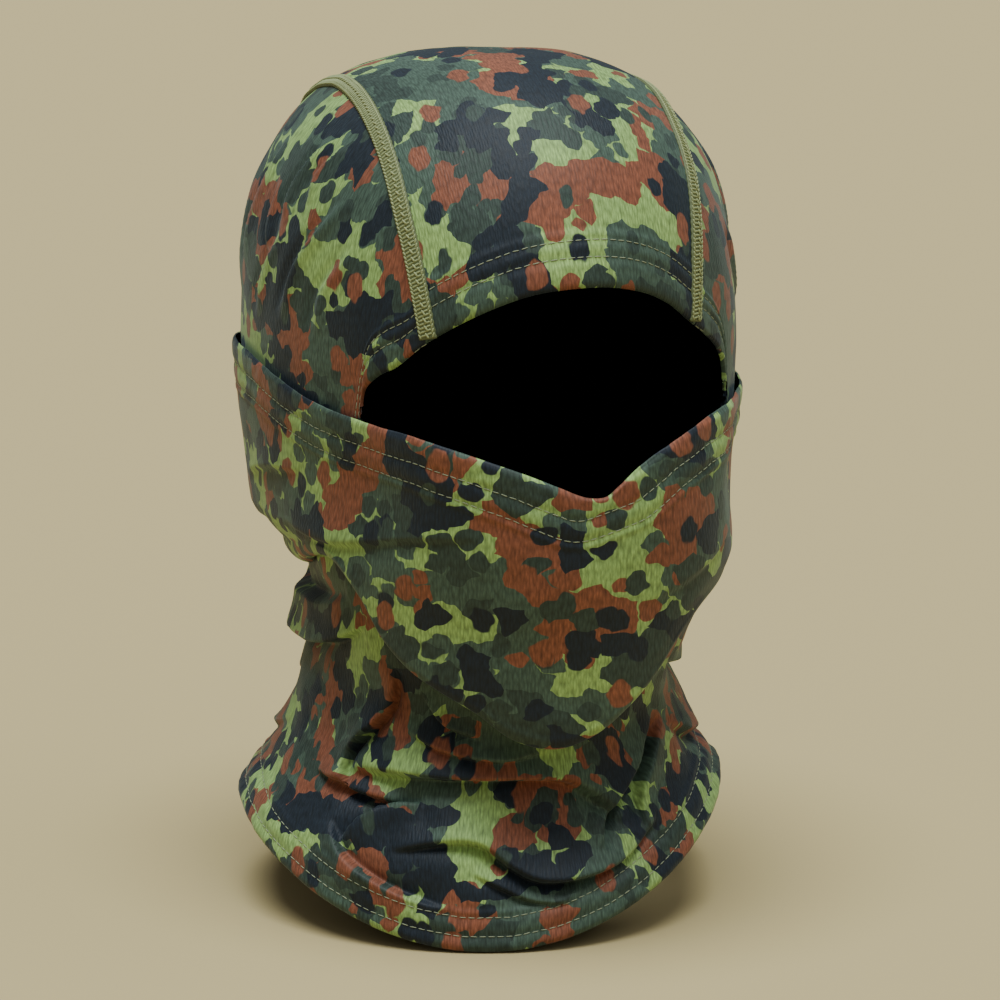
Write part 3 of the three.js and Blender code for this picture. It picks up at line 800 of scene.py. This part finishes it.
def crown_point(x, run, start):
    """Hood point at a distance from the middle plane, along a run from brow to nape."""
    side = np.abs(x)
    z = CROWN_BASE + np.clip((run - NAPE_RUN) / (1 - NAPE_RUN), 0, 1) * (HOOD_BOTTOM - CROWN_BASE)
    width, _, depth = np.moveaxis(smooth_at(HOOD_FORM, z), -1, 0)
    inset = np.maximum(1 - (side / width) ** PLAN_POWER, 0)
    behind = np.stack([x, depth * inset ** (1 / PLAN_POWER), z], -1)
    slope = start + (math.pi - start) * np.clip(run / NAPE_RUN, 0, 1)
    width, front, back = smooth_at(HOOD_FORM, CROWN_BASE)
    depth = np.where(np.cos(slope) > 0, front, back)

    def is_inside(reach):
        plan = (side / width) ** PLAN_POWER + (np.abs(reach * np.cos(slope)) / depth) ** PLAN_POWER
        height = (np.abs(reach * np.sin(slope)) / CROWN_RISE) ** CROWN_POWER
        return plan ** (CROWN_POWER / PLAN_POWER) + height < 1

    reach = bisect(np.zeros_like(x), np.full_like(x, 160.0), is_inside)
    over = np.stack([x, -reach * np.cos(slope), CROWN_BASE + reach * np.sin(slope)], -1)
    return np.where((run > NAPE_RUN)[..., None], behind, over)


def hood_relief(points):
    """Soft unevenness of the stretched hood, along its normals."""
    high = step_between(176, 200, points[..., 2])
    broad = smooth_noise(points * (1, 1, 0.6), 34, 11) * (0.4 + 0.7 * high)
    fine = smooth_noise(points * (1, 1, 0.35), 12, 12) * (0.12 + 0.2 * high)
    theta = np.degrees(np.arctan2(points[..., 0], -points[..., 1]))
    relief = broad + fine
    for (high_angle, top), (low_angle, bottom), width, height in HOOD_CREASES:
        share = (points[..., 2] - bottom) / (top - bottom)
        run = window(share, (-0.3, 0.25, 0.8, 1.3))
        bend = low_angle + (high_angle - low_angle) * share + 1.2 * np.sin(share * 5 + width)
        off = (theta - bend) / width
        bank = np.where(off > 0, np.exp(-off ** 2), np.exp(-(off / 0.55) ** 2))
        relief = relief + height * run * (bank - 0.7 * np.exp(-((off + 1.3) / 0.7) ** 2))
    return relief


def hem_profile(distance, hem, rows):
    """Lift of a hem's outer face: a double layer that puffs up between its rows of stitches."""
    lift = 0.65 * step_between(hem + 1.4, hem - 0.6, distance)
    for row in rows:
        lift = lift - 0.62 * np.exp(-np.abs((distance - row) / 1.5) ** 1.6)
    return lift - 0.9 * np.exp(-(distance / 0.8) ** 1.4)


def cloth_depth(in_hem, from_edge, rounding):
    """Thickness of the cloth: double in a hem, and thin at the rounded edge."""
    depth = CLOTH + HEM_EXTRA * step_between(-0.6, 0.4, in_hem)
    depth = depth * (0.25 + 0.75 * step_between(-0.2, rounding, from_edge))
    return depth[..., None]


def seam_x(side, run):
    """Distance of the right (-1) or left (1) flatlock seam from the middle plane."""
    return smooth_at(SEAM_LINES, run)[..., 0 if side < 0 else 1]


def crown_grid():
    run = np.linspace(0, 1, CROWN_ROWS)[:, None] ** 1.02
    share = np.linspace(0, 1, CROWN_COLUMNS)[None, :]
    right, left = seam_x(-1, run), seam_x(1, run)
    x = right + (left - right) * share
    return crown_point(x, np.broadcast_to(run, x.shape), crown_start(x[0]))


def side_grid(side):
    """One side panel: rows from the seam out to the opening edge, then to the bottom edge."""
    run = np.linspace(0.002, 0.5, SIDE_FACE_ROWS, endpoint=False)
    run = np.r_[run, np.linspace(0.5, 1, SIDE_NAPE_ROWS)]
    seam = side_seam(side, run)
    theta, rise = hood_place(seam)
    brow = brow_along(seam[:1, 0])[0]
    end = 1.0 if side > 0 else 0.0
    along = brow + (end - brow) * np.clip(run / 0.5, 0, 1)
    rim_theta, rim_rise = beside_opening(along, 0 * along)
    nape = hood_place(side_seam(side, np.array([1.0])))[0][0]
    fall = np.clip((run - 0.5) / 0.5, 0, 1)
    rim_theta = rim_theta + (nape - rim_theta) * fall
    share = np.linspace(0, 1, SIDE_COLUMNS)[None, :]
    grid_theta = theta[:, None] + (rim_theta - theta)[:, None] * share
    grid_rise = rise[:, None] + (rim_rise - rise)[:, None] * share
    return hood_point(grid_theta, grid_rise), run


def side_seam(side, run):
    """Points where a side panel meets the centre panel."""
    x = seam_x(side, run)
    return crown_point(x, run, crown_start(x[:1]))


def finish_panel(name, grid, edge_distance, uv, shift, nodes, flip=False):
    normals = pointing(grid_normals(grid), grid - (0, 0, 150))
    hem = hem_profile(edge_distance, OPENING_HEM, OPENING_ROWS)
    in_hem = OPENING_HEM - edge_distance
    pucker = 0.16 * smooth_noise(grid, 4.2, 21) * step_between(-3, 4, in_hem)
    outer = grid + normals * (hood_relief(grid) + hem + pucker)[..., None]
    inner = outer - normals * cloth_depth(in_hem, edge_distance, 1.3)
    panel = cloth_object(name, outer, inner, uv, [cloth_material(name + "_print", shift), PAINTED_SHADE_INSIDE])
    if flip:
        panel.data.flip_normals()
    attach(panel, BODY)
    declare_cloth(panel, *nodes)
    return outer, normals


def declare_cloth(piece, *nodes):
    """Hides the nodes that a sheet of cloth stands for; its real cut is looked up but not used."""
    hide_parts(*nodes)
    (width, length), area, held = CUTS[piece.name]
    if area is None:
        area = width * length


def make_hood():
    grid = crown_grid()
    from_edge = row_lengths(grid, 0)
    across = row_lengths(grid, 1)
    uv = np.stack([across - across[:, -1:] / 2, from_edge], -1)
    nodes = ["crown_centre_panel", "face_opening_hem"]
    made = finish_panel("hood_centre_cloth", grid, from_edge, uv, (0, 0, 0), nodes)
    parts = {"centre": (*made, from_edge)}
    for side, label, shift in ((-1, "right", (137, 53, 0)), (1, "left", (263, 149, 0))):
        grid, run = side_grid(side)
        across = row_lengths(grid, 1)
        from_edge = across[:, -1:] - across
        from_edge = from_edge + FAR_FROM_HEM * step_between(0.5, 0.52, run)[:, None]
        theta, rise = hood_place(grid)
        level = np.hypot(grid[..., 0], grid[..., 1])
        uv = np.stack([(theta - side * math.pi / 2) * level, -rise * 88], -1)
        nodes = [f"crown_{label}_panel"]
        made = finish_panel(f"hood_{label}_cloth", grid, from_edge, uv, shift, nodes, flip=side < 0)
        parts[label] = (*made, from_edge)
    return parts


# ---------- seams and stitches ----------

def level_line(points, normals, field, level):
    """Where a field that grows along each column of a grid reaches a level."""
    row = np.clip(np.argmax(field >= level, axis=0), 1, len(field) - 1)
    column = np.arange(field.shape[1])
    before, after = field[row - 1, column], field[row, column]
    share = np.clip((level - before) / np.maximum(after - before, 1e-6), 0, 1)[:, None]
    line = points[row - 1, column] * (1 - share) + points[row, column] * share
    return line, normals[row, column]


def stitch_row(name, line, out, nodes, closed=False):
    """Separate short stitches sewn along a line."""
    if closed:
        line = np.concatenate([line, line[:1]])
        out = np.concatenate([out, out[:1]])
    run = row_lengths(line)
    count = int(run[-1] / STITCH_PITCH)
    middle = (np.arange(count) + 0.5) * run[-1] / count
    first = between_rows(middle - STITCH_LENGTH / 2, run, line)
    last = between_rows(middle + STITCH_LENGTH / 2, run, line)
    up = unit(between_rows(middle, run, out))
    random = np.random.default_rng(len(name) + count)
    skew = np.cross(up, last - first) * random.normal(0, 0.05, (count, 1))
    lengths = np.linalg.norm(last - first, axis=1) * random.uniform(0.92, 1.05, count)
    centres = (first + last) / 2 + up * 0.08
    thread = capsules(name, centres, last - first + skew, up, lengths, THREAD, THREAD, HEM_THREAD)
    if nodes:
        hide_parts(*nodes)
    return thread


def hood_stitches(parts):
    """Two rows of stitches along the face opening, each crossing all three panels."""
    for row, label in zip(OPENING_ROWS, ("inner", "outer")):
        for key, (points, normals, field) in parts.items():
            if key == "centre":
                line, out = level_line(points, normals, field, row)
            else:
                facing = [part[:SIDE_FACE_ROWS] for part in (points, normals, field)]
                line, out = level_line(*[np.swapaxes(part, 0, 1)[::-1] for part in facing], row)
            nodes = [f"face_opening_{label}_stitch"] if key == "centre" else []
            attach(stitch_row(f"face_opening_{label}_stitch_{key}", line, out, nodes), BODY)


def flatlock_seam(side, label):
    """Covering tape of a flatlock seam with its ladder of slanting threads."""
    run = np.linspace(0.003, 1, TAPE_ROWS)
    line = side_seam(side, run)
    x = seam_x(side, run)
    start = crown_start(x[:1])
    aside = crown_point(x + 0.5, run, start)
    along = unit(np.gradient(line, axis=0))
    out = unit(np.cross(aside - line, along))
    out *= np.sign((out * (line - (0, 0, 150))).sum(1, keepdims=True))
    across = np.cross(along, out)
    line = line + out * (hood_relief(line) + 0.3)[:, None]
    share = np.linspace(-1, 1, TAPE_COLUMNS)
    arch = 0.55 * np.sqrt(np.maximum(1 - np.abs(share) ** 3, 0)) + 0.1
    wave = 1 + 0.05 * np.sin(np.arange(TAPE_ROWS) * 1.9)
    spread = share[None, :, None] * (SEAM_WIDTH / 2) * wave[:, None, None]
    outer = line[:, None] + across[:, None] * spread + out[:, None] * arch[None, :, None]
    inner = line[:, None] + across[:, None] * spread - out[:, None] * 0.4
    length = row_lengths(outer, 0)
    uv = np.stack([share * SEAM_WIDTH / 2 + 0 * length, length], -1)
    tape = cloth_object(f"{label}_flatlock_tape", outer, inner, uv, [SEAM_TAPE, SEAM_TAPE])
    if (grid_normals(outer) * out[:, None]).sum() > 0:
        tape.data.flip_normals()
    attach(tape, BODY)
    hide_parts(f"crown_{label}_flatlock_seam")
    total = length[-1].mean()
    centres, headings, ups, lengths = [], [], [], []

    def place(run_length, offset, lift, heading_across, heading_along, size):
        at = run_length / total * (TAPE_ROWS - 1)
        row = np.clip(np.round(at).astype(int), 0, TAPE_ROWS - 1)
        spot = between_rows(at, np.arange(TAPE_ROWS), line)
        centres.append(spot + across[row] * offset + out[row] * lift)
        headings.append(across[row] * heading_across + along[row] * heading_along)
        ups.append(out[row])
        lengths.append(np.full(len(at), size))

    place(np.arange(1.5, total - 1, LADDER_PITCH), 0, 0.62, 1, 0.2, 4.5)
    for turn in (-1, 1):
        place(np.arange(1.2, total - 1, CHAIN_PITCH), turn * CHAIN_OFFSET, 0.55, 0.45 * turn, 1, 1.75)
    place(np.arange(1.2, total - 1, TOP_PITCH), 0.3, 0.95, -0.5, 1, 2.1)
    threads = capsules(
        f"{label}_flatlock_threads", np.concatenate(centres), np.concatenate(headings),
        np.concatenate(ups), np.concatenate(lengths), *LADDER_THREAD, SEAM_THREAD,
    )
    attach(threads, BODY)


# ---------- gaiter ----------

def hem_height(theta):
    turn = theta - math.radians(HEM_TURN)
    return (HEM_RISE + HEM_LEAN * np.sin(turn)) * np.sin(turn) ** 2


def neck_radius(theta, z):
    """Neck form, which widens to the gaiter form on the wearer's left of the chin."""
    angle = np.degrees(theta)
    low, high, bottom, top = SHOULDER
    share = window(angle, (low, high, 110, 135)) * step_between(bottom, top, z)
    neck = plan_radius(NECK_FORM, theta, z)
    return neck + (gaiter_radius(theta, z) - 3.8 - neck) * share


def gaiter_profile(theta):
    """Rows from the top edge down the mask, under the chin and down the neck to the hem."""
    angle = np.degrees(theta)
    top = smooth_at(GAITER_EDGE, angle)[..., 0]
    lip, sharp, radius = np.moveaxis(smooth_at(CHIN_FOLD, angle), -1, 0)
    sharp = np.clip(sharp, 0, 1)
    wall = np.linspace(0, 1, WALL_ROWS)[:, None]
    turn = np.linspace(0, 1, TURN_ROWS + 1)[1:, None]
    fall = np.linspace(0, 1, FALL_ROWS + 1)[1:, None]
    wall_z = top + (lip + radius - top) * wall
    wall_r = gaiter_radius(theta, wall_z)
    snug = plan_radius(HOOD_FORM, theta, wall_z) + 2.3
    hug = step_between(27, 50, np.abs(angle)) * step_between(top - 52, top - 16, wall_z)
    wall_r = wall_r + (snug - wall_r) * hug
    outside = gaiter_radius(theta, lip + radius)
    valley = lip + FOLD_GAP
    inside = neck_radius(theta, valley - 3) + 1.5
    gap = np.maximum(outside - radius - inside, 1)
    quarter = np.clip(turn / 0.4, 0, 1) * math.pi / 2
    under = np.clip((turn - 0.4) / 0.6, 0, 1)
    turn_r = outside - radius * (1 - np.cos(quarter)) - gap * under
    turn_z = lip + radius * (1 - np.sin(quarter)) + (valley - lip) * step_between(0, 1, under)
    hem = hem_height(theta)
    fall_z = valley + (hem - valley) * fall
    step_in = turn_r[-1] - neck_radius(theta, valley)
    fall_r = neck_radius(theta, fall_z) + step_in * np.exp(-((valley - fall_z) / 9) ** 2)
    folded_r = np.concatenate([wall_r, turn_r, fall_r])
    folded_z = np.concatenate([wall_z, turn_z, fall_z])
    plain_turn = lip + radius - (radius + 3) * turn
    plain_fall = lip - 3 + (hem - lip + 3) * fall
    plain_z = np.concatenate([wall_z, plain_turn, plain_fall])
    share = step_between(lip - 26, lip + 12, plain_z)
    outer = gaiter_radius(theta, plain_z)
    inner = plan_radius(NECK_FORM, theta, plain_z)
    plain_r = inner + (outer - inner) * share
    plain_r[:len(wall)] = wall_r * share[:len(wall)] + inner[:len(wall)] * (1 - share[:len(wall)])
    r = plain_r + (folded_r - plain_r) * sharp
    z = plain_z + (folded_z - plain_z) * sharp
    return r, z


def path_distance(x, z, path):
    """Signed distance to a smooth path, positive on its left, and the share run along it."""
    line = smooth_line(path, 40)
    best = np.full(x.shape, 1e9)
    side = np.ones(x.shape)
    share = np.zeros(x.shape)
    for number in range(len(line) - 1):
        start, step = line[number], line[number + 1] - line[number]
        length = step @ step
        t = np.clip(((x - start[0]) * step[0] + (z - start[1]) * step[1]) / length, 0, 1)
        dx, dz = x - start[0] - t * step[0], z - start[1] - t * step[1]
        distance = np.hypot(dx, dz)
        nearer = distance < best
        best = np.where(nearer, distance, best)
        side = np.where(nearer, np.sign(step[0] * dz - step[1] * dx), side)
        share = np.where(nearer, (number + t) / (len(line) - 1), share)
    return best * side, share


def fold_shift(x, z, folds, scale):
    """Lift along the normal and shift in the sheet (across, up) made by overlapping folds."""
    lift = np.zeros(x.shape)
    shift = np.zeros(x.shape + (2,))
    for path, height, width, depth, hang in folds:
        path = np.array(path, float) * (scale, 1)
        low, high = path.min(0) - 3 * width, path.max(0) + 3 * width
        near = (x > low[0]) & (x < high[0]) & (z > low[1]) & (z < high[1])
        distance, share = path_distance(x[near], z[near], path)
        fade = np.sin(math.pi * np.clip(share, 0, 1)) ** 0.6
        fade = fade * np.exp(-(np.abs(distance) / (2.2 * width)) ** 4)
        bank = step_between(-0.13 * width, 0.27 * width, distance)
        out = np.maximum(distance, 0)
        sunk = np.maximum(-distance, 0)
        raised = height * np.exp(-(out / width) ** 1.6)
        lowered = depth * np.exp(-(sunk / (0.55 * width)) ** 1.3)
        lift[near] += fade * (bank * raised - (1 - bank) * lowered)
        pull = fade * bank * hang * np.exp(-out / (0.7 * width))
        line = smooth_line(path, 40)
        heading = unit(np.gradient(line, axis=0))
        steps = np.linspace(0, 1, 40)
        across = np.interp(share, steps, heading[:, 1])
        up = -np.interp(share, steps, heading[:, 0])
        shift[near, 0] += pull * across
        shift[near, 1] += pull * up
    return lift, shift


def gaiter_folds(angle, z, row):
    """Lift and shift of the folds, which fade out towards the turn under the chin."""
    lift = np.zeros_like(z)
    shift = np.zeros(z.shape + (2,))
    for part, folds, scale in ((WALL, MASK_FOLDS, MASK_DEGREE), (FALL, NECK_FOLDS, NECK_DEGREE)):
        lift[part], shift[part] = fold_shift(angle[part] * scale, z[part], folds, scale)
    free = step_between(WALL.stop, WALL.stop - 10, row) + step_between(FALL.start, FALL.start + 6, row)
    return lift * free, shift * free[..., None]


def edge_bands(angle, z):
    """Distances to the top edge and to the bottom edge, and how far inside a hem that is."""
    top_edge = np.array(GAITER_EDGE) * (MASK_DEGREE, 1)
    top_band = np.full_like(z, FAR_FROM_HEM)
    top_band[WALL] = np.abs(path_distance(angle[WALL] * MASK_DEGREE, z[WALL], top_edge)[0])
    top_band[0] = 0
    # The bottom edge goes on past the back joint, so its stitches run straight through there
    hem_angle = np.linspace(-200, 200, 81)
    hem_edge = np.stack([hem_angle * HEM_DEGREE, hem_height(np.radians(hem_angle))], 1)
    low_band = np.full_like(z, FAR_FROM_HEM)
    low_band[FALL] = np.abs(path_distance(angle[FALL] * HEM_DEGREE, z[FALL], hem_edge)[0])
    low_band[-1] = 0
    return top_band, low_band, np.maximum(GAITER_HEM - top_band, NECK_HEM - low_band)


def gaiter_relief(lift, base, row, calm, bands):
    """Adds the cloth's unevenness and its hems with their puckers to the lift of its folds."""
    top_band, low_band, in_hem = bands
    on_mask = step_between(WALL.stop - 2, WALL.stop - 14, row)
    on_neck = step_between(FALL.start + 2, FALL.start + 14, row)
    rough = smooth_noise(base * (1, 1, 1.5), 24, 31) * 1.5
    rough = rough + smooth_noise(base * (1, 1, 1.3), 11, 32) * 0.5
    soft = smooth_noise(base * (1, 1, 1.2), 36, 33) * 1.3 + smooth_noise(base, 13, 34) * 0.3
    lift = lift + on_neck * rough * (0.2 + 0.8 * calm) + on_mask * soft * (0.25 + 0.75 * calm)
    lift += hem_profile(top_band, GAITER_HEM, GAITER_ROWS) * on_mask
    lift += hem_profile(low_band, NECK_HEM, NECK_ROWS) * on_neck
    return lift + 0.22 * step_between(-2, 4, in_hem) * smooth_noise(base, 3.6, 35)


def gaiter_cut(base, r, z, wide_theta):
    """Flat coordinates of the cloth: round the wearer from the picture's middle, and down."""
    down = row_lengths(base, 0)
    down = np.concatenate([down, down[:, :1]], 1)
    down = down - np.concatenate([z[:1], z[:1, :1]], 1)
    size = 86 + 0.65 * (r.mean(1, keepdims=True) - 86)
    return np.stack([(wide_theta - math.radians(VIEW_AZIMUTH)) * size, down], -1)


def gaiter_stitches(outer, facing, top_band, low_band):
    """Two rows of stitches on the top hem and two on the bottom hem, all the way round."""
    rows = []
    for label, level in zip(("upper", "lower"), GAITER_ROWS):
        nodes = [f"mask_{label}_stitch", f"gaiter_{label}_stitch"]
        rows.append((f"gaiter_top_stitch_{label}", 1, top_band, level, nodes))
    for label, level in zip(("lower", "upper"), NECK_ROWS):
        rows.append((f"neck_stitch_{label}", -1, low_band, level, [f"neck_{label}_stitch"]))
    for name, way, band, level, nodes in rows:
        line, out = level_line(outer[::way], facing[::way], band[::way], level)
        blend_with_mask(stitch_row(name, line, out, nodes, closed=True))


def make_gaiter():
    """The gaiter, the mask and the neck, as one tube of cloth."""
    wide_theta = np.linspace(-math.pi, math.pi, GAITER_COLUMNS + 1)[None, :]
    theta = wide_theta[:, :-1]
    r, z = gaiter_profile(theta)
    base = around(r, theta, z)
    normals = pointing(grid_normals(base, ring=True), base * (1, 1, 0))
    angle = np.degrees(theta) + 0 * z
    row = np.arange(len(z))[:, None]
    lift, shift = gaiter_folds(angle, z, row)
    bands = top_band, low_band, in_hem = edge_bands(angle, z)
    calm = step_between(GAITER_HEM - 6, GAITER_HEM + 8, top_band) * step_between(4, 18, low_band)
    calm_fold = 0.25 + 0.75 * calm
    lift = gaiter_relief(lift * calm_fold, base, row, calm, bands)
    lift = lift - BACK_SEAM[0] * np.exp(-((180 - np.abs(angle)) / BACK_SEAM[1]) ** 2)
    around_way = np.stack([np.cos(theta) + 0 * z, np.sin(theta) + 0 * z, 0 * z], -1)
    up_way = unit(-np.gradient(base, axis=0))
    outer = base + normals * lift[..., None]
    outer = outer + around_way * (shift[..., :1] * calm_fold[..., None])
    outer = outer + up_way * (shift[..., 1:] * calm_fold[..., None])
    facing = pointing(grid_normals(outer, ring=True), normals)
    inner = outer - facing * cloth_depth(in_hem, np.minimum(top_band, low_band), 1.4)
    materials = [cloth_material("gaiter_print", (401, 31, 0)), PAINTED_SHADE_INSIDE]
    uv = gaiter_cut(base, r, z, wide_theta)
    cloth = cloth_object("gaiter_cloth", outer, inner, uv, materials, ring=True)
    blend_with_mask(cloth)
    declare_cloth(
        cloth, "mask_front_panel", "mask_top_hem", "gaiter_back_panel", "gaiter_top_hem", "neck_tube",
        "neck_hem",
    )
    gaiter_stitches(outer, facing, top_band, low_band)


def blend_with_mask(piece):
    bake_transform(piece)


def make_join():
    """Seam band inside the gaiter where the hood meets the neck."""
    wide = np.linspace(-math.pi, math.pi, JOIN_COLUMNS + 1)[None, :] + np.zeros((JOIN_ROWS, 1))
    theta = wide[:1, :-1]
    top, bottom, inset, thickness = JOIN_BAND
    z = np.linspace(top, bottom, JOIN_ROWS)[:, None] + 0 * theta
    radius = hood_radius(theta, np.maximum(z, HOOD_FORM[0][0])) - inset
    outer = around(radius, theta, z)
    inner = around(radius - thickness, theta, z)
    uv = np.stack([wide * 66, row_lengths(outer, 0)[:, :1] + 0 * wide], -1)
    materials = [cloth_material("join_print", (531, 211, 0)), PAINTED_SHADE_INSIDE]
    band = cloth_object("hood_join_band", outer, inner, uv, materials, ring=True)
    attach(band, BODY)
    declare_cloth(band, "hood_join_seam")


# ---------- the whole ----------

place_camera()
place_studio()
place_floor()
# The insides of all the cloth get painted shade, near black
PAINTED_SHADE_INSIDE = painted_shade_inside_material()
SEAM_TAPE = thread_material("flatlock_tape", TAPE_OLIVE, 0.3)
SEAM_THREAD = thread_material("flatlock_thread", FLATLOCK_OLIVE, 0.35)
HEM_THREAD = thread_material("sewing_thread", HEM_OLIVE, 0.2)
hood_parts = make_hood()
hood_stitches(hood_parts)
flatlock_seam(-1, "right")
flatlock_seam(1, "left")
make_gaiter()
make_join()
